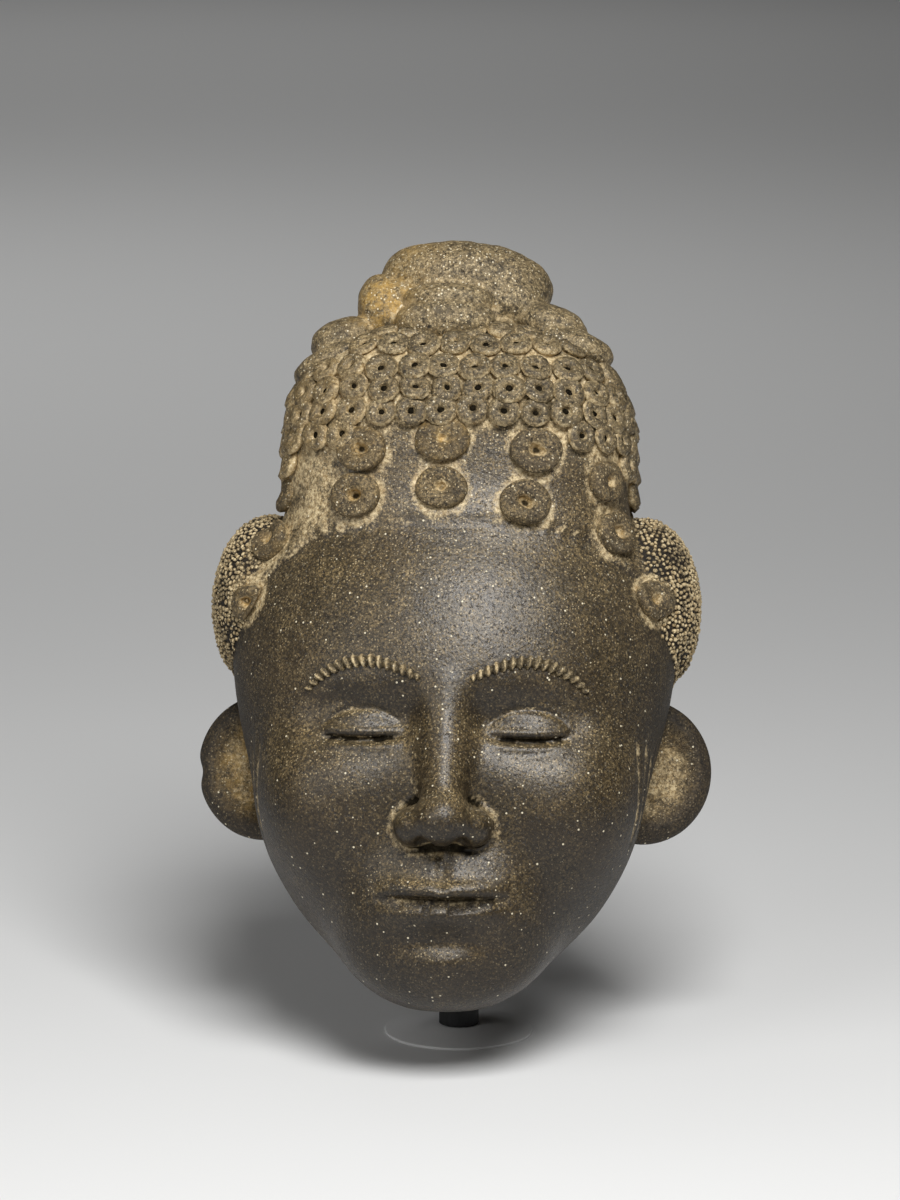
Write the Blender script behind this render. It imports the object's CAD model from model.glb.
"""Looks of a terracotta memorial head that leans back on a black display rod.

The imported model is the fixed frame. The head is drawn upright in millimetres, with its chin at
height 0 and its face towards -Y, and is then leaned back onto the rod.
"""

import math

import bmesh
import bpy
import numpy as np
from mathutils import Matrix, Vector


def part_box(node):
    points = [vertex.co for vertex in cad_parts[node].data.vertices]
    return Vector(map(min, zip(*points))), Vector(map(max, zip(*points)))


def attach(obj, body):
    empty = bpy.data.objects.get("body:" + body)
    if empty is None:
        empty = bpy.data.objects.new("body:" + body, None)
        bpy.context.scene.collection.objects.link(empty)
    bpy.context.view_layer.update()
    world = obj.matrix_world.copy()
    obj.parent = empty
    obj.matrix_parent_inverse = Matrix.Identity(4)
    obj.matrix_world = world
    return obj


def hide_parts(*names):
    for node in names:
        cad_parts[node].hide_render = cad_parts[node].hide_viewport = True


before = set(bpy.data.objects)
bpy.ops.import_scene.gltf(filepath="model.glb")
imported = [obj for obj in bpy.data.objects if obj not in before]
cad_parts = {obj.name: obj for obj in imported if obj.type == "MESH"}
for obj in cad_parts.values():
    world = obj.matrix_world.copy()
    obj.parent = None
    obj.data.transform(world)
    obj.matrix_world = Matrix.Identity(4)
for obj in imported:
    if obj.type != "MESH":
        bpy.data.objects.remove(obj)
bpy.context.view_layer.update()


# The mount
# A 16 mm round bar of mild steel, sprayed matt black so that it disappears in the shadow under the
# head. It is screwed to a thin round plate, painted the pale grey of the shelf that it stands on.
PALE_GREY = "#e6e6e5"


def linear(hex_colour):
    """An sRGB hex colour as the linear values that a shader takes."""
    parts = [int(hex_colour[k : k + 2], 16) / 255 for k in (1, 3, 5)]
    return (*[p / 12.92 if p < 0.04045 else ((p + 0.055) / 1.055) ** 2.4 for p in parts], 1.0)


def add(tree, kind, inputs=(), output=0, **settings):
    """Adds a node, sets or links its inputs by name or number, and gives back one output."""
    node = tree.nodes.new(kind)
    for name, value in settings.items():
        setattr(node, name, value)
    for name, value in dict(inputs).items():
        if isinstance(value, bpy.types.NodeSocket):
            tree.links.new(value, node.inputs[name])
        else:
            node.inputs[name].default_value = value
    return node.outputs[output] if node.outputs else None


def matt_black_paint():
    """Sprayed paint: near black and dull, with a fine orange peel about 0.6 mm across."""
    made = bpy.data.materials.new("matt_black_paint")
    made.use_nodes = True
    tree = made.node_tree
    shader = tree.nodes["Principled BSDF"]
    shader.inputs["Base Color"].default_value = linear("#131313")
    shader.inputs["Roughness"].default_value = 0.55
    place = add(tree, "ShaderNodeTexCoord", output="Object")
    peel = add(tree, "ShaderNodeTexNoise", {"Vector": place, "Scale": 1000 / 0.6, "Detail": 1.0})
    relief = add(tree, "ShaderNodeBump", {"Height": peel, "Strength": 0.15, "Distance": 0.0001})
    tree.links.new(relief, shader.inputs["Normal"])
    return made


def pale_matt(name, colour):
    """A plain pale finish without gloss, such as matt paint or paper."""
    made = bpy.data.materials.new(name)
    made.use_nodes = True
    shader = made.node_tree.nodes["Principled BSDF"]
    shader.inputs["Base Color"].default_value = linear(colour)
    shader.inputs["Roughness"].default_value = 0.9
    shader.inputs["Specular IOR Level"].default_value = 0.2
    return made


bpy.data.objects["mount_rod"].material_slots[0].material = matt_black_paint()
shelf_paint = pale_matt("shelf_paint", PALE_GREY)
bpy.data.objects["mount_foot"].material_slots[0].material = shelf_paint


# The clay head
# One hollow-built head of coarse dark terracotta, modelled by hand, smoothed with a pebble and
# fired in smoke. Its form is written as a distance from the surface, so that every piece pressed
# onto it can find the clay.
HEAD_LEAN = math.radians(16.0)
NECK_ABOVE_GROUND = 0.029
NECK_SEAT = np.array((2.0, 32.3, 22.0))  # where the rod's axis meets the neck's flat underside
CROWN_TOP = np.array((0.0, 6.0, 272.0))
HAIRLINE = 192.0
FACE_THIRD = HAIRLINE / 3
NOSE_BASE = FACE_THIRD
BROW = 2 * FACE_THIRD
MOUTH = 2 / 3 * NOSE_BASE
EYE_LINE = BROW - 0.26 * FACE_THIRD
EYE_WIDTH = 32.0
EYE_SPACING = 32.0
LIP_HALF_WIDTH = 26.0
SOCKET_DEPTH = 45.0
SOCKET_CLEARANCE = 0.3
ROD_RADIUS = 1000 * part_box("mount_rod")[1][0]
PAD_EDGE = 1.9  # how far the cropped hair reaches past the swell of its pad
PAD_FRONT = -24.0  # where the cropped hair ends towards the face
UPWARDS = np.array((0.0, -math.sin(HEAD_LEAN), math.cos(HEAD_LEAN)))  # of the room, as drawn
SKIN_ROWS = 220
SKIN_COLUMNS = 400


def ellipsoid(points, centre, radii, fullness=2.0):
    """Distance, close to true near the surface, from an ellipsoid, squarer above fullness 2."""
    radii = np.array(radii, float)
    share = np.abs(points - np.array(centre, float)) / radii + 1e-6
    shell = (share**fullness).sum(axis=-1) ** (1 / fullness)
    slope = np.linalg.norm((share / shell[..., None]) ** (fullness - 1) / radii, axis=-1)
    return (shell - 1) / slope


def tapered_bar(points, start, end, start_radius, end_radius):
    """Distance from a round bar that changes thickness from one end to the other."""
    start, end = np.array(start, float), np.array(end, float)
    along = end - start
    share = np.clip((points - start) @ along / (along @ along), 0, 1)
    axis_point = start + share[..., None] * along
    radius = start_radius + (end_radius - start_radius) * share
    return np.linalg.norm(points - axis_point, axis=-1) - radius


def blend(one, other, width):
    """Union of two lumps with a soft fillet of about that width."""
    share = np.clip(0.5 + 0.5 * (other - one) / width, 0, 1)
    return other * (1 - share) + one * share - width * share * (1 - share)


def carve(body, tool, width):
    """Body with the tool's form cut out of it, with softened edges."""
    return -blend(-body, tool, width)


def bell(distance, spread):
    """A soft rise of height 1 that fades over the spread."""
    return np.exp(-((distance / spread) ** 2))


def mirrored(points):
    """The points with their left side folded onto the right."""
    folded = points.copy()
    folded[..., 0] = np.abs(folded[..., 0])
    return folded


def angle_round(points):
    """Degrees from the face round to either side, seen from above."""
    return np.degrees(np.arctan2(np.abs(points[..., 0]), -points[..., 1]))


def hairline_height(angle):
    """Lower edge of the headband, falling from the forehead to behind the ears."""
    return np.interp(angle, (0, 30, 56, 70, 80, 100, 180), (192, 192, 187, 171, 147, 136, 138))


def curls_height(angle):
    """Lower edge of the ring curls, lower at the sides and back."""
    return np.interp(angle, (0, 30, 50, 70, 100, 180), (229, 228, 221, 213, 200, 176))


def hair_pads(side):
    """The swell of cropped hair over each ear."""
    return ellipsoid(side, (75, 12, 163), (21, 36, 34.5))


def skull(points, side):
    """Skull, jaw, crown, hair pads and neck, without the face's features."""
    body = ellipsoid(points, (0, -2, 142), (88, 60, 78))
    body = blend(body, ellipsoid(points, (1, 4, 216), (66.5, 50, 54.5), 3.0), 12)
    body = blend(body, ellipsoid(points, (0, -18, 90), (75, 48, 80)), 26)
    body = blend(body, ellipsoid(points, (0, -41, 29), (38, 22, 28)), 22)
    body = blend(body, ellipsoid(side, (43, -38, 82), (26, 24, 27)), 20)
    body = blend(body, tapered_bar(points, (0, 16, 80), NECK_SEAT, 35, 29), 18)
    body = blend(body, tapered_bar(points, NECK_SEAT, (2, 34, 0), 29, 28), 3)
    return blend(body, hair_pads(side), 3)


def add_eyes(body, side, front):
    """Sockets, and closed lids with their slit and crease over soft eyeballs."""
    across = side[..., 0] - EYE_SPACING
    up = side[..., 2] - EYE_LINE
    body = body + front * 6.0 * bell(across, 21.0) * bell(up - 1.0, 11.5)
    body = body + front * 3.5 * bell(across + 17.0, 7.0) * bell(up - 3.0, 9.0)
    ball = ellipsoid(side, (EYE_SPACING + 0.5, -46.5, EYE_LINE - 1), (17.0, 14.0, 12.0))
    body = blend(body, ball, 5)
    within = np.clip(1 - (across / (EYE_WIDTH / 2)) ** 2, 0, 1)
    slit = up + 4.5 + 1.6 * within
    crease = slit - 3.0 - 9.5 * within**0.7
    body = body + front * within**0.6 * (2.2 * bell(slit, 1.0) + 1.2 * bell(crease, 1.2))
    return body - front * within**0.6 * (1.2 * bell(slit - 3.0, 1.7) + 1.1 * bell(slit + 3.0, 1.7))


def add_nose(body, points, side):
    """Bridge, tip, wings and the two nostrils under them."""
    bridge = tapered_bar(points, (0, -58, BROW - 5), (0, -75, NOSE_BASE + 12), 7.0, 8.5)
    body = blend(body, bridge, 9)
    body = blend(body, ellipsoid(points, (0, -76.5, NOSE_BASE + 9.5), (10.5, 10.5, 9.5)), 5)
    body = blend(body, ellipsoid(side, (11.5, -69.5, NOSE_BASE + 7.5), (7.6, 9.5, 7.6)), 4)
    nostril = ellipsoid(side, (7.0, -75.0, NOSE_BASE - 0.5), (3.6, 5.2, 4.2))
    return carve(body, nostril, 1.6)


def add_mouth(body, points, front):
    """Full, closed lips over the swell of the teeth, and the hollow under them."""
    across = points[..., 0]
    up = points[..., 2] - MOUTH
    body = blend(body, ellipsoid(points, (0, -48, MOUTH + 2), (31, 18.5, 22)), 16)
    out = np.clip(np.abs(across) / LIP_HALF_WIDTH, 0, 1)
    seam = up - 1.5 * out**2
    fade = 1 - out**2
    bow = 1.2 * bell(across, 3.5)
    lips = 3.3 * bell(seam - 4.4 + bow, 3.3) + 3.9 * bell(seam + 5.0, 4.2)
    body = body - front * fade * lips
    body = body + front * fade**0.5 * 2.6 * bell(seam, 1.3)
    body = body + front * 1.3 * bell(across, 2.6) * bell(up - 14.0, 6.0)
    body = body + front * 3.0 * bell(across, 17.0) * bell(up + 15.5, 5.0)
    return body - front * 2.0 * bell(across, 14.0) * bell(up + 26.0, 8.0)


def temple_strokes(side):
    """A few upright strokes scored in the clay in front of each ear, 1 in their middle."""
    turn = angle_round(side)
    up = side[..., 2]
    reach = np.clip((up - 62.0) / 10.0, 0, 1) * np.clip((112.0 - up) / 10.0, 0, 1)
    return reach * sum(bell(turn - middle, 1.4) for middle in (64.0, 69.5, 75.0, 80.5))


def add_headband(body, points):
    """The raised band between the skin and the curls, with a scored line along its edge."""
    above = points[..., 2] - hairline_height(angle_round(points))
    return body - 1.4 / (1 + np.exp(-above / 0.7)) + 0.5 * bell(above + 1.6, 1.1)


def head_form(points):
    """Distance from the drawn head's surface, negative inside the clay."""
    side = mirrored(points)
    front = np.clip(-points[..., 1] / 14.0, 0, 1)
    body = skull(points, side)
    body = add_eyes(body, side, front)
    body = add_mouth(body, points, front)
    body = add_nose(body, points, side)
    body = body + 0.7 * temple_strokes(side)
    body = add_headband(body, points)
    return carve(body, (points - NECK_SEAT) @ UPWARDS, 1.2)


def outward(points, form=head_form, step=0.4):
    """Directions that point straight out of the form at these surface points."""
    slopes = [form(points + step * axis) - form(points - step * axis) for axis in np.eye(3)]
    slopes = np.stack(slopes, axis=-1)
    return slopes / np.linalg.norm(slopes, axis=-1, keepdims=True)


def onto(points, form=head_form, rounds=4):
    """The points moved straight onto the form's surface."""
    for _ in range(rounds):
        points = points - form(points)[..., None] * outward(points, form)
    return points


def last_inside(start, directions, longest, steps):
    """Where rays leave the clay for good, found by stepping inwards and then halving."""
    lengths = np.linspace(longest, 0.0, steps)
    outer = np.full(directions.shape[:-1], lengths[0])
    inner = np.zeros(directions.shape[:-1])
    in_air = np.ones(directions.shape[:-1], bool)
    for length in lengths[1:-1]:
        inside = head_form(start + directions * length) < 0
        outer = np.where(in_air & ~inside, length, outer)
        inner = np.where(in_air & inside, length, inner)
        in_air &= ~inside
    for _ in range(14):
        middle = (outer + inner) / 2
        inside = head_form(start + directions * middle[..., None]) < 0
        inner = np.where(inside, middle, inner)
        outer = np.where(inside, outer, middle)
    return start + directions * inner[..., None]


def crowded(start, end, count, wanted):
    """Values from start to end that lie closer together where more are wanted."""
    fine = np.linspace(start, end, 2000)
    passed = np.cumsum(wanted(fine))
    return np.interp(np.linspace(passed[0], passed[-1], count), passed, fine)


def eased_nose(rows):
    """The rows with those round the nose slid along the clay, so that its steep sides are covered."""
    x, y, z = np.moveaxis(rows, -1, 0)
    near = (np.abs(x) < 28) & (y < -52) & (z > NOSE_BASE - 16) & (z < BROW - 12)
    near[:2] = near[-2:] = False
    for _ in range(16):
        middles = np.roll(rows, 1, axis=0) + np.roll(rows, -1, axis=0)
        middles = (middles + np.roll(rows, 1, axis=1) + np.roll(rows, -1, axis=1)) / 4
        rows[near] = onto(middles[near], rounds=1)
    rows[near] = onto(rows[near])
    return rows


def drawn_to_room():
    """From the drawn head, in millimetres, to its place on the rod, in metres."""
    lift = Matrix.Translation((0.0, 0.0, NECK_ABOVE_GROUND))
    lean = Matrix.Rotation(-HEAD_LEAN, 4, "X")
    return lift @ lean @ Matrix.Scale(0.001, 4) @ Matrix.Translation(Vector(-NECK_SEAT))


def head_skin():
    """Rows of points round the head, from the crown to the end of the rod's socket."""
    heart = NECK_SEAT + 0.41 * (CROWN_TOP - NECK_SEAT)
    pole = (CROWN_TOP - NECK_SEAT) / np.linalg.norm(CROWN_TOP - NECK_SEAT)
    rightwards = np.cross((0.0, -1.0, 0.0), pole)
    rightwards /= np.linalg.norm(rightwards)
    faceward = np.cross(pole, rightwards)
    turns = crowded(-180, 180, SKIN_COLUMNS + 1, lambda turn: 1 + 3 * bell(turn, 85.0) ** 2)[:-1]
    drops = crowded(1.5, 171.0, SKIN_ROWS, lambda drop: 1 + 2 * bell(drop - 112.0, 46.0) ** 2)
    turns, drops = np.radians(turns), np.radians(drops)[:, None, None]
    round_pole = np.cos(turns)[:, None] * faceward + np.sin(turns)[:, None] * rightwards
    rays = np.cos(drops) * pole + np.sin(drops) * round_pole
    rows = eased_nose(last_inside(heart, rays, 240.0, 40))
    level = np.cos(turns)[:, None] * np.cross(UPWARDS, rightwards) * -1
    level = level + np.sin(turns)[:, None] * rightwards
    mouth = NECK_SEAT + (ROD_RADIUS + SOCKET_CLEARANCE) * level
    ceiling = mouth + SOCKET_DEPTH * UPWARDS
    top = last_inside(heart, pole[None], 240.0, 40)[0]
    return np.concatenate((rows, mouth[None], ceiling[None])), top, ceiling.mean(axis=0)


def lofted(name, rows, first, last):
    """A closed mesh through rows of points, drawn together to one point at each end."""
    count, columns = rows.shape[:2]
    here = np.arange(count * columns).reshape(count, columns)
    beside = np.roll(here, -1, axis=1)
    quads = np.stack((here[:-1], here[1:], beside[1:], beside[:-1]), axis=-1).reshape(-1, 4)
    faces = quads.tolist()
    faces += [(count * columns, here[0, k], beside[0, k]) for k in range(columns)]
    faces += [(count * columns + 1, beside[-1, k], here[-1, k]) for k in range(columns)]
    made = bpy.data.meshes.new(name)
    made.from_pydata(np.concatenate((rows.reshape(-1, 3), (first, last))).tolist(), [], faces)
    return made


def points_of(mesh):
    """The mesh's points, as rows of numbers."""
    places = np.empty(3 * len(mesh.vertices), np.float32)
    mesh.vertices.foreach_get("co", places)
    return places.reshape(-1, 3).astype(float)


def note(mesh, name, values):
    """Writes a value for each point, which the clay's material reads."""
    values = np.broadcast_to(np.asarray(values, np.float32), len(mesh.vertices))
    kept = mesh.attributes.new(name, "FLOAT", "POINT")
    kept.data.foreach_set("value", np.ascontiguousarray(values))


def hollowness(points, form=head_form):
    """How far clay stands up round each point, from 0 on open ground to 1 in a crack."""
    out = outward(points, form)
    near = 1 - form(points + 2.0 * out) / 2.0
    wide = 1 - form(points + 6.0 * out) / 6.0
    return np.clip(1.2 * near + 0.8 * wide, 0, 1)


# Coarse terracotta: quartz grains up to 1 mm show pale in a clay smoked grey-brown. Where a pebble
# has burnished it there is a dull sheen. Ochre soil lies in the hollows and all over the hair.
def terracotta():
    """Reads hollow, soiled, ochre, pierced and burnished, each from 0 to 1, at a piece's points."""
    made = bpy.data.materials.new("smoked_terracotta")
    made.use_nodes = True
    tree = made.node_tree
    shader = tree.nodes["Principled BSDF"]
    place = add(tree, "ShaderNodeTexCoord", output="Object")
    hollow = add(tree, "ShaderNodeAttribute", output="Fac", attribute_name="hollow")
    soiled = add(tree, "ShaderNodeAttribute", output="Fac", attribute_name="soiled")
    ochre = add(tree, "ShaderNodeAttribute", output="Fac", attribute_name="ochre")
    pierced = add(tree, "ShaderNodeAttribute", output="Fac", attribute_name="pierced")
    burnished = add(tree, "ShaderNodeAttribute", output="Fac", attribute_name="burnished")

    def clouds(millimetres, low, high, detail=4.0, roughness=0.6):
        """Cloudy blotches of about this size, 0 below the low level and 1 above the high one."""
        sizes = {"Vector": place, "Scale": 1000 / millimetres, "Detail": detail}
        cloud = add(tree, "ShaderNodeTexNoise", sizes | {"Roughness": roughness})
        return add(tree, "ShaderNodeMapRange", {"Value": cloud, 1: low, 2: high})

    def grains(apart, across, share):
        """Grains of this width in this share of the cells, which lie this far apart."""
        cells = add(tree, "ShaderNodeTexVoronoi", {"Vector": place, "Scale": 1000 / apart}, "Color")
        chance = add(tree, "ShaderNodeSeparateColor", {0: cells})
        edge = across / 2 / apart
        near = {"Value": cells.node.outputs["Distance"], 1: 1.2 * edge, 2: 0.8 * edge}
        near = add(tree, "ShaderNodeMapRange", near)
        return add(tree, "ShaderNodeMapRange", {"Value": chance, 1: share, 2: share - 0.02, 4: near})

    def coat(body, colour, strength, *shares):
        """The body's colour with this one laid over it where all the shares are high."""
        for share in shares:
            strength = add(tree, "ShaderNodeMath", {0: share, 1: strength}, operation="MULTIPLY")
        colours = {0: strength, 6: body, 7: linear(colour)}
        return add(tree, "ShaderNodeMix", colours, 2, data_type="RGBA")

    # Clay smoked almost black, with a film of soil over the hair and dust in the fine pores
    body = coat(linear("#16110b"), "#231b12", 1.0, clouds(40.0, 0.35, 0.65))
    body = coat(body, "#948260", 0.8, soiled, clouds(3.0, 0.3, 0.6, 6.0, 0.8))
    dust = add(tree, "ShaderNodeMapRange", {"Value": soiled, 1: 0.0, 2: 0.25, 3: 0.1, 4: 1.0})
    body = coat(body, "#8a7551", 0.8, dust, clouds(1.1, 0.55, 0.62, 3.0, 0.75))
    dusting = clouds(11.0, 0.45, 0.7, 6.0, 0.75)
    body = coat(body, "#a68f64", 0.7, dust, dusting, clouds(0.9, 0.5, 0.57, 2.0))
    # Pale specks, rubbed places and pits in that film
    body = coat(body, "#cbb68c", 0.75, soiled, clouds(1.2, 0.53, 0.6, 5.0, 0.8))
    body = coat(body, "#262118", 0.8, soiled, clouds(2.8, 0.46, 0.4, 5.0, 0.8))
    body = coat(body, "#332c20", 0.7, soiled, clouds(15.0, 0.46, 0.36, 6.0, 0.7))
    pits = clouds(1.2, 0.41, 0.34, 3.0, 0.7)
    body = coat(body, "#0d0b09", 0.8, pits)
    # Flaky soil lodged in the hollows, in patches about 13 mm across
    flakes = clouds(2.2, 0.3, 0.62, 8.0, 0.85)
    lodged = add(tree, "ShaderNodeMath", {0: hollow, 1: flakes}, operation="MULTIPLY")
    patches = add(tree, "ShaderNodeMapRange", {"Value": clouds(13.0, 0.4, 0.6), 3: 0.4, 4: 1.0})
    lodged = add(tree, "ShaderNodeMath", {0: lodged, 1: patches}, operation="MULTIPLY")
    lodged = add(tree, "ShaderNodeMapRange", {"Value": lodged, 1: 0.14, 2: 0.46})
    body = coat(body, "#9a8157", 0.85, lodged)
    body = coat(body, "#e0cda4", 0.85, lodged, clouds(1.5, 0.42, 0.57, 5.0, 0.8))
    body = coat(body, "#b8934c", 0.9, ochre, clouds(4.0, 0.42, 0.6, 7.0, 0.85))
    # Quartz grains, fine ones where the surface is rough and larger ones all over
    body = coat(body, "#c4b18a", 0.75, dust, grains(1.1, 0.6, 0.28))
    body = coat(body, "#f0e4c6", 0.85, soiled, grains(1.3, 0.65, 0.2))
    large = grains(3.1, 0.8, 0.3)
    body = coat(body, "#e0d5b8", 0.85, large)
    body = coat(body, "#0d0b08", 0.95, pierced)
    tree.links.new(body, shader.inputs["Base Color"])

    worn = add(tree, "ShaderNodeMapRange", {"Value": clouds(6.0, 0.3, 0.7), 3: 1.0, 4: 0.8})
    sheen = add(tree, "ShaderNodeMath", {0: burnished, 1: worn}, operation="MULTIPLY")
    dull = add(tree, "ShaderNodeMapRange", {"Value": lodged, 3: 1.0, 4: 0.4})
    sheen = add(tree, "ShaderNodeMath", {0: sheen, 1: dull}, operation="MULTIPLY")
    rough = add(tree, "ShaderNodeMapRange", {"Value": sheen, 3: 0.68, 4: 0.3})
    tree.links.new(rough, shader.inputs["Roughness"])
    gloss = add(tree, "ShaderNodeMapRange", {"Value": pierced, 3: 0.5, 4: 0.02})
    tree.links.new(gloss, shader.inputs["Specular IOR Level"])
    shader.inputs["IOR"].default_value = 1.44

    grit = clouds(1.3, 0.0, 1.0, 4.0, 0.65)
    grit = add(tree, "ShaderNodeMath", {0: pits, 1: -0.4, 2: grit}, operation="MULTIPLY_ADD")
    grit = add(tree, "ShaderNodeMath", {0: large, 1: 0.25, 2: grit}, operation="MULTIPLY_ADD")
    coarse = add(tree, "ShaderNodeMapRange", {"Value": burnished, 3: 2.6, 4: 0.8})
    grit = add(tree, "ShaderNodeMath", {0: grit, 1: coarse}, operation="MULTIPLY")
    relief = add(tree, "ShaderNodeBump", {"Height": grit, "Strength": 0.6, "Distance": 0.0005})
    tree.links.new(relief, shader.inputs["Normal"])
    return made


def clay_piece(name, mesh):
    """An object of the head's clay, which stands for the head's solid and rides with it."""
    piece = bpy.data.objects.new(name, mesh)
    bpy.context.scene.collection.objects.link(piece)
    mesh.materials.clear()
    mesh.materials.append(clay)
    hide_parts("terracotta_head")
    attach(piece, "root")


def press_on(name, mesh):
    """Puts a drawn piece of clay on the head, with its faces turned outwards."""
    work = bmesh.new()
    work.from_mesh(mesh)
    bmesh.ops.recalc_face_normals(work, faces=work.faces)
    bmesh.ops.transform(work, matrix=drawn_to_room(), verts=work.verts)
    work.to_mesh(mesh)
    work.free()
    mesh.shade_smooth()
    clay_piece(name, mesh)


clay = terracotta()
skin = lofted("clay_head", *head_skin())
places = points_of(skin)
above_hairline = places[:, 2] - hairline_height(angle_round(places))
above_curls = places[:, 2] - curls_height(angle_round(places))
on_pad = (hair_pads(mirrored(places)) < PAD_EDGE) & (places[:, 1] > PAD_FRONT)
cracks = hollowness(places)
hollow = np.clip((cracks - 0.35) / 0.65, 0, 1) * np.where(above_hairline < -3, 0.6, 1.0)
hollow = np.maximum(hollow, 0.75 * bell(above_hairline, 1.6))
hollow = np.maximum(hollow, 0.6 * temple_strokes(mirrored(places)))
hollow = np.maximum(hollow, np.clip(above_curls / 3, 0, 1))
leftwards = np.clip(-places[:, 0] / 30 - 0.4, 0, 1)
hollow = np.maximum(hollow, 0.6 * leftwards * np.clip(above_hairline / 3, 0, 1))
hollow[on_pad] = 0.0


# The rosettes
# Flat coils of clay with a pierced middle, pressed on in two rows round the headband. Their lower
# edges stand off the band, some are worn down, and pale soil lies round each.
ROSETTE_RISE = 4.6
ROSETTE_TALLNESS = 0.88  # of its width, as it was squeezed when pressed on
ROSETTE_COLUMNS = 64
HALO = 2.2  # how far the soil round each one fades over the band
# Place across, height, radius, radius of the hole, wear from 0 to 1, ochre soil from 0 to 1, and
# how much further the lower edge stands off than the upper one
ROSETTES = (
    (-81.0, 162.0, 8.9, 2.0, 0.2, 0.5, 0.05),
    (-70.5, 185.0, 10.2, 2.8, 0.0, 0.4, 0.05),
    (-37.0, 201.5, 10.3, 2.5, 0.0, 0.3, 0.05),
    (-3.5, 204.5, 10.0, 1.7, 0.3, 0.3, 0.04),
    (29.0, 199.0, 10.3, 2.6, 0.0, 0.1, 0.08),
    (63.5, 189.0, 10.2, 2.6, 0.0, 0.2, 0.06),
    (78.0, 163.0, 8.9, 1.8, 0.3, 0.2, 0.05),
    (-66.0, 204.5, 8.0, 1.4, 0.6, 0.3, 0.05),
    (-35.0, 220.0, 10.2, 2.4, 0.0, 0.5, 0.22),
    (-3.5, 224.0, 10.6, 1.1, 0.6, 0.7, 0.2),
    (33.0, 220.0, 10.4, 2.6, 0.0, 0.1, 0.12),
    (60.0, 209.5, 9.4, 1.8, 0.3, 0.2, 0.08),
)


def seen_from_front(across, up):
    """The first point of clay straight behind this place, seen from the front."""
    line = np.stack(np.broadcast_arrays(across, np.arange(-150.0, 10.0, 0.25), up), axis=1)
    return line[np.flatnonzero(head_form(line) < 0)[0]]


def hand_made(turns, size, lumps, chance):
    """An uneven value round a piece, from a few slow waves."""
    return size * sum(chance.normal() / k * np.cos(k * turns + chance.uniform(0, 7)) for k in lumps)


def rosette_rows(middle, radius, hole, wear, tilt, chance):
    """Rings of points from the floor of the hole into the band, and the soil lodged at each."""
    out = outward(middle[None])[0]
    side = np.cross((0.0, 0.0, 1.0), out)
    side /= np.linalg.norm(side)
    high = np.cross(out, side)
    turns = np.linspace(0, 2 * np.pi, ROSETTE_COLUMNS, endpoint=False)
    rise = ROSETTE_RISE * (1 - 0.45 * wear)
    dip = 1 - 0.75 * wear
    body = radius - hole
    # Distance from the middle, height above the band and lodged soil
    profile = (
        (0.4 * hole, rise - 4.2 * dip, 1.0), (0.85 * hole, rise - 4.0 * dip, 1.0),
        (hole, rise - 2.8 * dip, 0.9), (hole + 0.07 * body, rise - 1.3 * dip, 0.6),
        (hole + 0.17 * body, rise - 0.5 * dip, 0.3), (hole + 0.34 * body, rise, 0.1),
        (hole + 0.5 * body, rise + 0.15, 0.0), (hole + 0.68 * body, rise, 0.0),
        (hole + 0.82 * body, rise - 0.3, 0.15), (hole + 0.93 * body, rise - 0.8, 0.35),
        (hole + 0.99 * body, rise - 1.6, 0.4), (radius, 0.4 * rise, 0.5),
        (radius - 0.2, 0.15 * rise, 0.8), (radius - 0.7, -0.5, 1.0), (radius - 1.6, -2.0, 1.0),
    )
    outline = 1 + hand_made(turns, 0.045, (2, 3, 4, 5), chance)
    bore = 1 + hand_made(turns, 0.16, (2, 3, 5), chance)
    dent = hand_made(turns, 0.4, (1, 2, 3, 5, 8), chance)
    rings, soil = [], []
    for distance, height, lodged in profile:
        share = min(max((distance - hole) / (0.5 * body), 0), 1)
        reach = distance * (bore * (1 - share) + outline * share)
        across, along = reach * np.sin(turns), ROSETTE_TALLNESS * reach * np.cos(turns)
        foot = middle + across[:, None] * side + along[:, None] * high
        foot = onto(foot, rounds=3)
        lift = height + (dent * share - tilt * along) * (height > 0)
        rings.append(foot + lift[:, None] * out)
        soil.append(lodged * (1 - 0.4 * share * (1 - np.cos(turns))))
    return np.array(rings), np.array(soil)


for number, (across, up, radius, hole, wear, ochre, tilt) in enumerate(ROSETTES, 1):
    middle = seen_from_front(across, up)
    chance = np.random.default_rng(20 + number)
    rings, soil = rosette_rows(middle, radius, hole, wear, tilt, chance)
    mesh = lofted(f"rosette_{number}", rings, rings[0].mean(axis=0), rings[-1].mean(axis=0))
    soil = np.append(soil, (soil[0, 0], soil[-1, 0]))
    around = np.linalg.norm(points_of(mesh) - middle, axis=1)
    note(mesh, "hollow", soil)
    note(mesh, "soiled", 0.26)
    note(mesh, "ochre", ochre * np.clip(0.2 + soil, 0, 1) + 0.35 * (around < 1.3 * hole))
    note(mesh, "pierced", (1 - wear) * (around < 0.7 * hole))
    press_on(f"rosette_{number}", mesh)
    beyond = np.linalg.norm(places - middle, axis=1) - radius
    hollow = np.maximum(hollow, 0.75 * bell(np.maximum(beyond - 0.5, 0), HALO))

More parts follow.
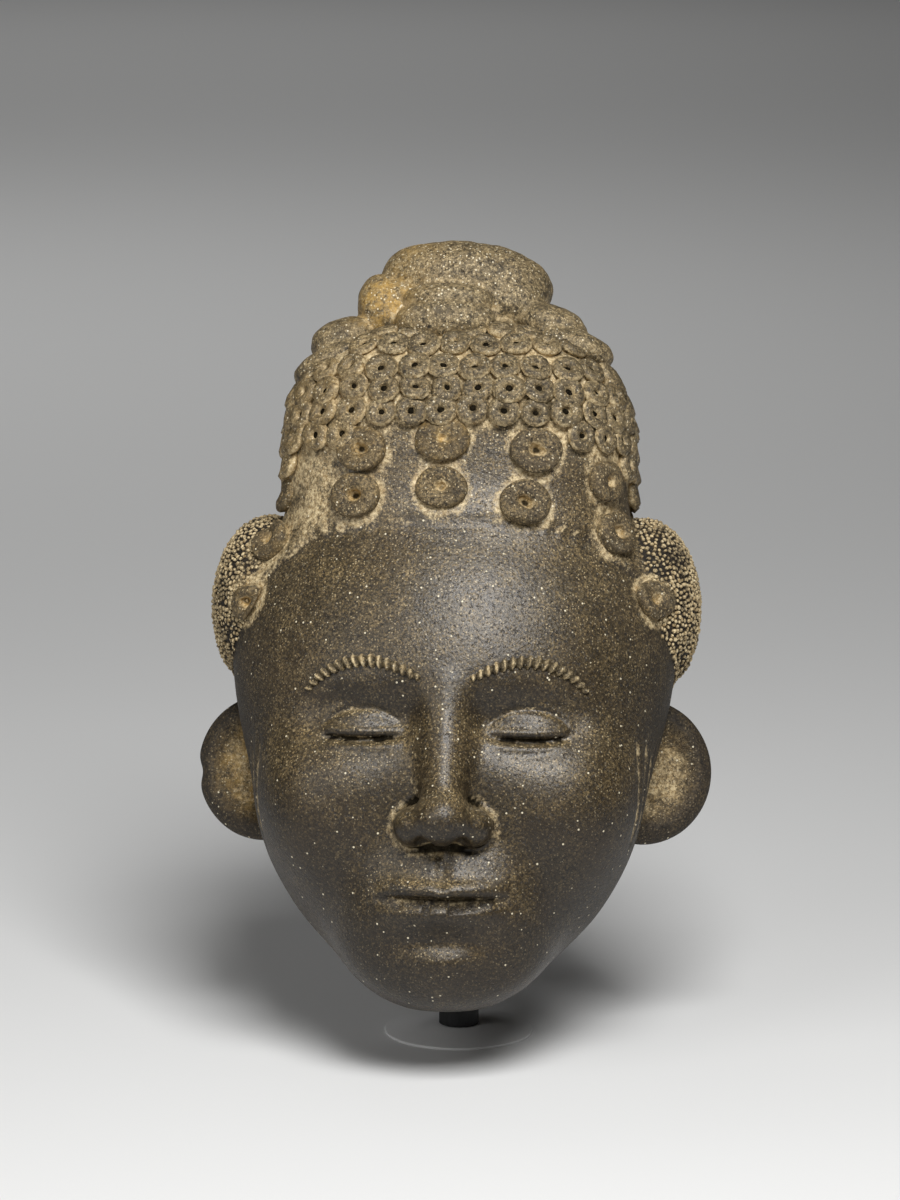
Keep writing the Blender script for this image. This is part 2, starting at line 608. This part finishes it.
note(skin, "hollow", hollow)
facing_up = np.clip(outward(places) @ UPWARDS, 0, 1)
soiled = 0.03 + 0.26 * facing_up + 0.1 * np.clip(above_hairline / 5, 0, 1)
soiled = soiled + 0.5 * np.clip((above_curls + 4) / 8, 0, 1)
note(skin, "soiled", np.where(on_pad, 0.0, soiled))
note(skin, "pierced", np.clip((cracks - 0.9) / 0.1, 0, 1))
note(skin, "ochre", 0.0)
sideways = np.clip((angle_round(places) - 48) / 25, 0, 1)
burnished = np.clip(-above_curls / 6, 0, 1) * (1 - 0.7 * sideways)
note(skin, "burnished", np.where(on_pad, 0.0, burnished))
note(skin, "pad", on_pad)
press_on("clay_head", skin)


# The brows
# Two thin rolls of clay, notched slantwise like cord and pressed on over the eyes.
CORD_RADIUS = 2.6
CORD_NOTCH = 3.3  # from one groove to the next
CORD_STEPS = 190
CORD_SIDES = 20


def brow_cord(side):
    """One notched roll from the bridge of the nose out over the eye, and its notches."""
    share = np.linspace(0, 1, CORD_STEPS)
    arc = BROW - 3.0 + 12.0 * np.sin(np.pi * (0.10 + 0.82 * share)) - 2.0 * share
    line = np.stack((side * (10.0 + 51.0 * share), np.full_like(share, -66.0), arc), axis=1)
    line = onto(line, rounds=6)
    out = outward(line)
    along = np.gradient(line, axis=0)
    travelled = np.cumsum(np.linalg.norm(along, axis=1))
    beside = np.cross(along / np.linalg.norm(along, axis=1, keepdims=True), out)
    turn = np.linspace(0, 2 * np.pi, CORD_SIDES, endpoint=False)
    notches = np.sin(2 * np.pi * travelled[:, None] / CORD_NOTCH + 1.1 * side * np.cos(turn))
    taper = np.sin(np.pi * (0.03 + 0.94 * share)) ** 0.35
    radius = CORD_RADIUS * taper[:, None] * (0.84 + 0.2 * notches)
    ring = np.cos(turn)[:, None, None] * beside + np.sin(turn)[:, None, None] * out
    return line[:, None] + 0.4 * out[:, None] + radius[..., None] * ring.swapaxes(0, 1), notches


for side, name in ((-1, "brow_left"), (1, "brow_right")):
    rings, notches = brow_cord(side)
    mesh = lofted(name, rings, rings[0].mean(axis=0), rings[-1].mean(axis=0))
    note(mesh, "hollow", np.append(np.clip(0.8 * notches, 0, 1), (0, 0)))
    note(mesh, "pierced", np.append(np.clip(-0.7 * notches, 0, 1), (0, 0)))
    note(mesh, "soiled", 0.5)
    press_on(name, mesh)


# The ears
# Plain half-round flanges of clay with a thick rim and a dished front, luted on at the sides and
# left rough. The one on the left has lost a chip from its rim.
EAR_CENTRE = (75.5, 4.0, 97.5)
EAR_RADII = (28.5, 5.5, 29.0)
EAR_TURN = math.radians(18.0)
EAR_TILT = math.radians(10.0)
EAR_DISH = 0.9


def ear_ball(chipped, chance):
    """A ball pressed flat, with its front dished and its rim uneven."""
    work = bmesh.new()
    bmesh.ops.create_uvsphere(work, u_segments=120, v_segments=90, radius=1.0)
    ball = bpy.data.meshes.new("ear")
    work.to_mesh(ball)
    work.free()
    points = points_of(ball)
    rim = np.hypot(points[:, 0], points[:, 2])
    turn = np.arctan2(points[:, 2], points[:, 0])
    dish = np.clip(1 - (rim - 0.45) / 0.4, 0, 1)
    dish = dish * dish * (3 - 2 * dish)
    slab = np.sign(points[:, 1]) * np.minimum(1.6 * np.abs(points[:, 1]), 1.0)
    points[:, 1] = slab + np.where(slab < 0, EAR_DISH * dish, 0)
    uneven = hand_made(turn, 0.008, (3, 5, 7, 11), chance)
    chip = 0.07 * chipped * bell(turn - 0.12, 0.16)
    points[:, (0, 2)] *= (1 + rim**2 * (uneven - chip))[:, None]
    ball.vertices.foreach_set("co", points.ravel())
    return ball, dish


for side, name in ((-1, "ear_left"), (1, "ear_right")):
    mesh, dish = ear_ball(side < 0, np.random.default_rng(50 + side))
    place = Matrix.Translation(EAR_CENTRE) @ Matrix.Rotation(EAR_TURN, 4, "Z")
    place = place @ Matrix.Rotation(EAR_TILT, 4, "Y") @ Matrix.Diagonal((*EAR_RADII, 1.0))
    mesh.transform(Matrix.Diagonal((side, 1.0, 1.0, 1.0)) @ place)
    note(mesh, "hollow", 0.45 * dish)
    note(mesh, "soiled", 0.04 + 0.22 * dish)
    note(mesh, "ochre", (0.5 if side < 0 else 0.15) * dish)
    press_on(name, mesh)


# The knots of hair
# Fat rolls of clay folded over on the crown, with one smaller folded roll at each side. They were
# pushed together while soft, so that only creases part them.
KNOT_GRAIN = 0.8  # size of the faces that the knots are drawn with
# Centre, radii and tilt in degrees as seen from the front
KNOT_LUMPS = (
    ((2.5, 7, 293), (34.5, 24, 17), -5),
    ((3, 7, 279), (29, 23, 15), 0),
    ((21, 2, 284), (14, 18, 12), 0),
    ((-30, 0, 281), (10.5, 16, 15), 6),
    ((-21, -4, 280), (9, 12, 14), 0),
    ((-4.5, -18, 274.5), (20, 12.5, 9.5), 0),
    ((-4, -14, 283.5), (18, 12, 7), 0),
    ((18, -12, 270), (7, 7, 6.5), 0),
    ((-45, -4, 268), (14.5, 15, 9.5), 18),
    ((-49, -9, 259.5), (17.5, 15, 6.5), 27),
    ((37.5, -4, 274.5), (15, 15, 8.5), -22),
    ((46, -9, 265.5), (17, 15, 7.5), -18),
)


def turned(points, centre, tilt):
    """The points as seen by a lump that is tilted about its centre."""
    turn = np.array(Matrix.Rotation(math.radians(tilt), 3, "Y"))
    return (points - np.array(centre)) @ turn.T


def uneven_clay(points, size):
    """Soft hand marks: a few crossing waves about this far apart."""
    waves = 0.0
    for direction in ((1.0, 0.4, 0.2), (-0.5, 1.0, 0.7), (0.3, -0.6, 1.0), (0.9, 0.8, -0.7)):
        waves = waves + np.sin(points @ np.array(direction) * 2 * np.pi / size + 9 * direction[1])
    return waves / 4


def knot_form(points):
    """Distance from the folded knots, with a crease where two rolls meet."""
    body = None
    for centre, radii, tilt in KNOT_LUMPS:
        lump = ellipsoid(turned(points, centre, tilt), (0, 0, 0), radii, 2.2)
        body = lump if body is None else blend(body, lump, 1.4)
    return body + 0.5 * uneven_clay(points, 19.0) + 0.25 * uneven_clay(points, 7.0)


def kneaded(lumps, grain):
    """One closed mesh round all the lumps, in faces of this size."""
    work = bmesh.new()
    for centre, radii, tilt in lumps:
        place = Matrix.Translation(centre) @ Matrix.Rotation(math.radians(-tilt), 4, "Y")
        place = place @ Matrix.Diagonal((*radii, 1.0))
        bmesh.ops.create_uvsphere(work, u_segments=48, v_segments=32, radius=1.0, matrix=place)
    mesh = bpy.data.meshes.new("lumps")
    work.to_mesh(mesh)
    work.free()
    lump = bpy.data.objects.new("lumps", mesh)
    bpy.context.scene.collection.objects.link(lump)
    kneading = lump.modifiers.new("knead", "REMESH")
    kneading.mode = "VOXEL"
    kneading.voxel_size = grain
    finished = lump.evaluated_get(bpy.context.evaluated_depsgraph_get())
    made = bpy.data.meshes.new_from_object(finished)
    bpy.data.objects.remove(lump)
    return made


knots = kneaded(KNOT_LUMPS, KNOT_GRAIN)
places = onto(points_of(knots), knot_form, 3)
knots.vertices.foreach_set("co", places.ravel())
note(knots, "hollow", 0.7 * hollowness(places, knot_form))
note(knots, "soiled", 0.9)
note(knots, "burnished", 0.35)
# Ochre soil on the lobe to the left and on the thumbed top
lobe = bell(np.linalg.norm(places - (-28, -14, 283), axis=1), 13.0)
thumbed = bell(np.linalg.norm(places - (-17, -2, 307), axis=1), 9.0)
note(knots, "ochre", np.clip(1.2 * lobe + 0.8 * thumbed, 0, 1))
press_on("hair_knots", knots)


# The ring curls
# Small rings of clay, pierced with a stick and pressed on in staggered rows from the band upwards,
# so that each row laps over the one below it.
RING_RADIUS = 6.7
RING_BORE = 1.25
RING_PITCH = 12.0  # from ring to ring along a row
RING_LIFT = 1.5  # of a ring's middle above the clay
BORE_FLOOR = 1.0  # thickness of the disc that closes each bore, from the ring's middle downwards
BORE_SPREAD = 1.6  # width of that disc, in bores, so that it runs into the ring all round
# Rows of rings: height, and how far along the row starts, as a share of the pitch
CURL_ROWS = (
    (268.5, 0.5),
    (262.4, 0.0),
    (252.4, 0.7),
    (243.6, 0.8),
    (234.9, 0.7),
    (226.2, 0.3),
    (217.4, 0.8),
    (208.6, 0.2),
    (199.8, 0.6),
    (191.0, 0.1),
)


def curl_centres():
    """Ring centres in staggered rows round the crown, down to the curls' lower edge."""
    turn = np.radians(np.arange(361))
    level_rays = np.stack((np.sin(turn), -np.cos(turn), np.zeros_like(turn)), axis=1)
    centres = []
    for height, start in CURL_ROWS:
        level = np.array((0.0, 4.0, height))
        outline = last_inside(level, level_rays, 120.0, 12)
        steps = np.linalg.norm(np.diff(outline, axis=0, prepend=outline[:1]), axis=1)
        travelled = np.cumsum(steps)
        count = round(travelled[-1] / RING_PITCH)
        wanted = (np.arange(count) + start) * travelled[-1] / count
        found = np.stack([np.interp(wanted, travelled, outline[:, k]) for k in range(3)], axis=1)
        kept = found[:, 2] > curls_height(angle_round(found)) + 0.5 * RING_RADIUS
        centres.append(found[kept])
    centres = np.vstack(centres)
    return centres[knot_form(centres) > -1.5]


def clay_points(places, facing):
    """Loose points in the room, each with the direction that its piece of clay faces."""
    mesh = bpy.data.meshes.new("points")
    mesh.from_pydata(places.tolist(), [], [])
    mesh.transform(drawn_to_room())
    facing = facing @ np.array(Matrix.Rotation(-HEAD_LEAN, 3, "X")).T
    kept = mesh.attributes.new("facing", "FLOAT_VECTOR", "POINT")
    kept.data.foreach_set("vector", facing.astype(np.float32).ravel())
    return mesh


def geometry_tree(name, sizes):
    """A tree with these named sizes as inputs, and its input sockets."""
    tree = bpy.data.node_groups.new(name, "GeometryNodeTree")
    tree.interface.new_socket("Geometry", in_out="INPUT", socket_type="NodeSocketGeometry")
    tree.interface.new_socket("Geometry", in_out="OUTPUT", socket_type="NodeSocketGeometry")
    for size in sizes:
        tree.interface.new_socket(size, in_out="INPUT", socket_type="NodeSocketFloat")
    return tree, add(tree, "NodeGroupInput").node.outputs


def stored(tree, geometry, name, value, domain="POINT"):
    """The geometry with a value stored on it under this name."""
    inputs = {"Geometry": geometry, "Name": name, "Value": value}
    return add(tree, "GeometryNodeStoreNamedAttribute", inputs, domain=domain)


def finish_tree(tree, copies, hand_marks, mark_size):
    """Makes the copies real, gives each its own hand marks, and sets the clay."""
    real = add(tree, "GeometryNodeRealizeInstances", {"Geometry": copies})
    place = add(tree, "GeometryNodeInputPosition")
    marks = add(tree, "ShaderNodeTexNoise", {"Vector": place, "Scale": 1000 / mark_size}, "Color")
    marks = add(tree, "ShaderNodeVectorMath", {0: marks, 1: (0.5, 0.5, 0.5)}, operation="SUBTRACT")
    marks = add(tree, "ShaderNodeVectorMath", {0: marks, "Scale": hand_marks}, operation="SCALE")
    real = add(tree, "GeometryNodeSetPosition", {"Geometry": real, "Offset": marks})
    real = add(tree, "GeometryNodeSetShadeSmooth", {"Geometry": real})
    real = add(tree, "GeometryNodeSetMaterial", {"Geometry": real, "Material": clay})
    add(tree, "NodeGroupOutput", {"Geometry": real})


def ring_curls_tree():
    """A flattened ring of clay on each point, facing as the point says."""
    tree, sizes = geometry_tree("ring_curls", ("Ring radius", "Bore radius", "Flatness", "Hand marks"))
    radius, bore = sizes["Ring radius"], sizes["Bore radius"]
    middle = add(tree, "ShaderNodeMath", {0: radius, 1: bore}, operation="ADD")
    middle = add(tree, "ShaderNodeMath", {0: middle, 1: 0.5}, operation="MULTIPLY")
    width = add(tree, "ShaderNodeMath", {0: radius, 1: bore}, operation="SUBTRACT")
    width = add(tree, "ShaderNodeMath", {0: width, 1: 0.5}, operation="MULTIPLY")
    path = add(tree, "GeometryNodeCurvePrimitiveCircle", {"Resolution": 12, "Radius": middle})
    section = add(tree, "GeometryNodeCurvePrimitiveCircle", {"Resolution": 6, "Radius": width})
    ring = add(tree, "GeometryNodeCurveToMesh", {"Curve": path, "Profile Curve": section})
    shape = add(tree, "ShaderNodeCombineXYZ", {0: 1.0, 1: 1.0, 2: sizes["Flatness"]})
    ring = add(tree, "GeometryNodeTransform", {"Geometry": ring, "Scale": shape})
    place = add(tree, "GeometryNodeInputPosition")
    height = add(tree, "ShaderNodeSeparateXYZ", {0: place}, 2)
    flat = add(tree, "ShaderNodeVectorMath", {0: place, 1: (1.0, 1.0, 0.0)}, operation="MULTIPLY")
    around = add(tree, "ShaderNodeVectorMath", {0: flat}, 1, operation="LENGTH")
    inner = add(tree, "ShaderNodeMapRange", {"Value": around, 1: 0.0027, 2: 0.0018, 4: 0.6})
    outer = add(tree, "ShaderNodeMapRange", {"Value": height, 1: 0.0021, 2: 0.0007})
    soil = add(tree, "ShaderNodeMath", {0: inner, 1: outer}, operation="MAXIMUM")
    ring = stored(tree, ring, "hollow", soil)
    ring = stored(tree, ring, "burnished", 0.4)
    hole = {"Vertices": 8, "Radius": bore, "Depth": 0.001 * BORE_FLOOR}
    hole = add(tree, "GeometryNodeMeshCylinder", hole, fill_type="TRIANGLE_FAN")
    hole = {"Geometry": hole, "Translation": (0.0, 0.0, -0.0005 * BORE_FLOOR)}
    hole = add(tree, "GeometryNodeTransform", hole | {"Scale": (BORE_SPREAD, BORE_SPREAD, 1.0)})
    hole = stored(tree, hole, "pierced", 1.0)
    ring = add(tree, "GeometryNodeJoinGeometry", {"Geometry": ring})
    tree.links.new(hole, ring.node.inputs["Geometry"])
    facing = {"Name": "facing"}
    facing = add(tree, "GeometryNodeInputNamedAttribute", facing, data_type="FLOAT_VECTOR")
    turn = add(tree, "FunctionNodeAlignRotationToVector", {"Vector": facing}, axis="Z")
    spin = {0: (-0.13, -0.13, -3.1), 1: (0.13, 0.13, 3.1), "Seed": 4}
    spin = add(tree, "FunctionNodeRandomValue", spin, data_type="FLOAT_VECTOR")
    spin = add(tree, "FunctionNodeEulerToRotation", {0: spin})
    turn = add(tree, "FunctionNodeRotateRotation", {0: turn, 1: spin}, rotation_space="LOCAL")
    size = {0: (0.9, 0.9, 0.75), 1: (1.08, 1.08, 1.15), "Seed": 9}
    size = add(tree, "FunctionNodeRandomValue", size, data_type="FLOAT_VECTOR")
    copies = {"Points": sizes["Geometry"], "Instance": ring, "Rotation": turn, "Scale": size}
    copies = add(tree, "GeometryNodeInstanceOnPoints", copies)
    finish_tree(tree, copies, sizes["Hand marks"], 5.0)
    return tree


def grown(name, source, tree, sizes):
    """The plain mesh that a tree makes of a mesh, with these sizes."""
    grower = bpy.data.objects.new(name, source)
    bpy.context.scene.collection.objects.link(grower)
    growing = grower.modifiers.new(tree.name, "NODES")
    growing.node_group = tree
    for socket in tree.interface.items_tree:
        if socket.name in sizes:
            growing[socket.identifier] = sizes[socket.name]
    finished = grower.evaluated_get(bpy.context.evaluated_depsgraph_get())
    made = bpy.data.meshes.new_from_object(finished)
    bpy.data.objects.remove(grower)
    return made


chance = np.random.default_rng(12)
centres = curl_centres()
centres = onto(centres + chance.normal(0, 0.45, centres.shape))
facing = outward(centres)
facing[:, 2] = np.minimum(facing[:, 2] + 0.16, 0.62)
facing /= np.linalg.norm(facing, axis=1, keepdims=True)
ring_sizes = {"Ring radius": 0.001 * RING_RADIUS, "Bore radius": 0.001 * RING_BORE}
ring_sizes |= {"Flatness": 0.85, "Hand marks": 0.0016}
ring_points = clay_points(centres + RING_LIFT * facing, facing)
dusty = chance.uniform(0.35, 0.7, len(centres))
leftwards = np.clip(-centres[:, 0] / 30 - 0.7, 0, 1)
note(ring_points, "soiled", dusty + 0.2 * leftwards)
note(ring_points, "ochre", 0.2 * leftwards)
clay_piece("ring_curls", grown("ring_curls", ring_points, ring_curls_tree(), ring_sizes))


# The cropped hair over the ears
# Pellets of clay smaller than a lentil, pressed side by side over the two pads.
def hair_grain_tree():
    """Small uneven pellets scattered over the points that are marked as pad."""
    tree, sizes = geometry_tree("hair_grain", ("Pellet radius", "Pitch", "Hand marks"))
    pad = add(tree, "GeometryNodeInputNamedAttribute", {"Name": "pad"})
    spread = {"Mesh": sizes["Geometry"], "Selection": pad, "Distance Min": sizes["Pitch"]}
    spread |= {"Density Max": 900000.0, "Seed": 3}
    spread = add(
        tree, "GeometryNodeDistributePointsOnFaces", spread, distribute_method="POISSON"
    ).node.outputs
    pellet = {"Segments": 6, "Rings": 4, "Radius": sizes["Pellet radius"]}
    pellet = add(tree, "GeometryNodeMeshUVSphere", pellet)
    height = add(tree, "ShaderNodeSeparateXYZ", {0: add(tree, "GeometryNodeInputPosition")}, 2)
    height = add(tree, "ShaderNodeMath", {0: height, 1: sizes["Pellet radius"]}, operation="DIVIDE")
    top = add(tree, "ShaderNodeMapRange", {"Value": height, 1: 0.2, 2: 0.75})
    pellet = stored(tree, pellet, "hollow", top)
    size = {0: (0.75, 0.75, 0.6), 1: (1.3, 1.3, 1.3), "Seed": 5}
    size = add(tree, "FunctionNodeRandomValue", size, data_type="FLOAT_VECTOR")
    copies = {"Points": spread["Points"], "Instance": pellet, "Rotation": spread["Rotation"]}
    copies = add(tree, "GeometryNodeInstanceOnPoints", copies | {"Scale": size})
    pale = add(tree, "FunctionNodeRandomValue", {2: 0.0, 3: 0.6, "Seed": 6}, 1)
    copies = stored(tree, copies, "soiled", pale, "INSTANCE")
    finish_tree(tree, copies, sizes["Hand marks"], 1.5)
    return tree


grain_sizes = {"Pellet radius": 0.001, "Pitch": 0.0016, "Hand marks": 0.0006}
clay_piece("hair_grain", grown("hair_grain", skin, hair_grain_tree(), grain_sizes))


# The room
# A plain pale floor that runs back out of sight, one large softbox over the viewer's right
# shoulder, a weak low one on the left, two more over the floor behind the head, and a long lens a
# little above it.
VIEW_AZIMUTH = 3.0
VIEW_ELEVATION = 11.0
VIEW_DISTANCE = 2.0
VIEW_HEIGHT = math.radians(13.6)  # the angle from the bottom of the picture to its top
LOOKED_AT = Vector((-0.0036, 0.0, 0.177))
LIGHT_DISTANCE = 1.5

work = bmesh.new()
bmesh.ops.create_grid(work, x_segments=1, y_segments=1, size=20.0)
mesh = bpy.data.meshes.new("floor")
work.to_mesh(mesh)
work.free()
mesh.materials.append(pale_matt("pale_paper", PALE_GREY))
floor = bpy.data.objects.new("floor", mesh)
bpy.context.scene.collection.objects.link(floor)


def direction_to(azimuth, elevation):
    """Unit vector towards a viewer at this azimuth and elevation, in degrees."""
    azimuth, elevation = math.radians(azimuth), math.radians(elevation)
    level = math.cos(elevation)
    return Vector((math.sin(azimuth) * level, -math.cos(azimuth) * level, math.sin(elevation)))


def softbox(name, place, aim, size, power, spread=180.0):
    """A square soft light, with a honeycomb that narrows its beam to the spread, in degrees."""
    lamp = bpy.data.lights.new(name, "AREA")
    lamp.size = size
    lamp.energy = power
    lamp.spread = math.radians(spread)
    made = bpy.data.objects.new(name, lamp)
    bpy.context.scene.collection.objects.link(made)
    made.location = place
    made.rotation_euler = (Vector(aim) - made.location).to_track_quat("-Z", "Y").to_euler()


softbox("key", LOOKED_AT + LIGHT_DISTANCE * direction_to(15.0, 48.0), LOOKED_AT, 0.7, 29.0)
softbox("left_fill", LOOKED_AT + LIGHT_DISTANCE * direction_to(-42.0, 23.0), LOOKED_AT, 0.7, 5.0)
softbox("near_backdrop", (-0.9, 1.9, 2.6), (-0.6, 2.1, 0.0), 1.6, 7.0, 85.0)
softbox("far_backdrop", (-1.3, 4.6, 3.0), (-0.6, 5.2, 0.0), 2.0, 11.0, 110.0)

surround = bpy.data.worlds.new("surround")
surround.use_nodes = True
surround.node_tree.nodes["Background"].inputs["Color"].default_value = linear("#d8d8d8")
surround.node_tree.nodes["Background"].inputs["Strength"].default_value = 0.02
bpy.context.scene.world = surround

camera = bpy.data.objects.new("camera", bpy.data.cameras.new("camera"))
bpy.context.scene.collection.objects.link(camera)
camera.data.sensor_fit = "VERTICAL"
camera.data.sensor_height = 24.0
camera.data.lens = 12.0 / math.tan(VIEW_HEIGHT / 2)
towards_viewer = direction_to(VIEW_AZIMUTH, VIEW_ELEVATION)
camera.location = LOOKED_AT + VIEW_DISTANCE * towards_viewer
camera.rotation_euler = (-towards_viewer).to_track_quat("-Z", "Y").to_euler()
bpy.context.scene.camera = camera
bpy.context.scene.view_settings.view_transform = "Standard"
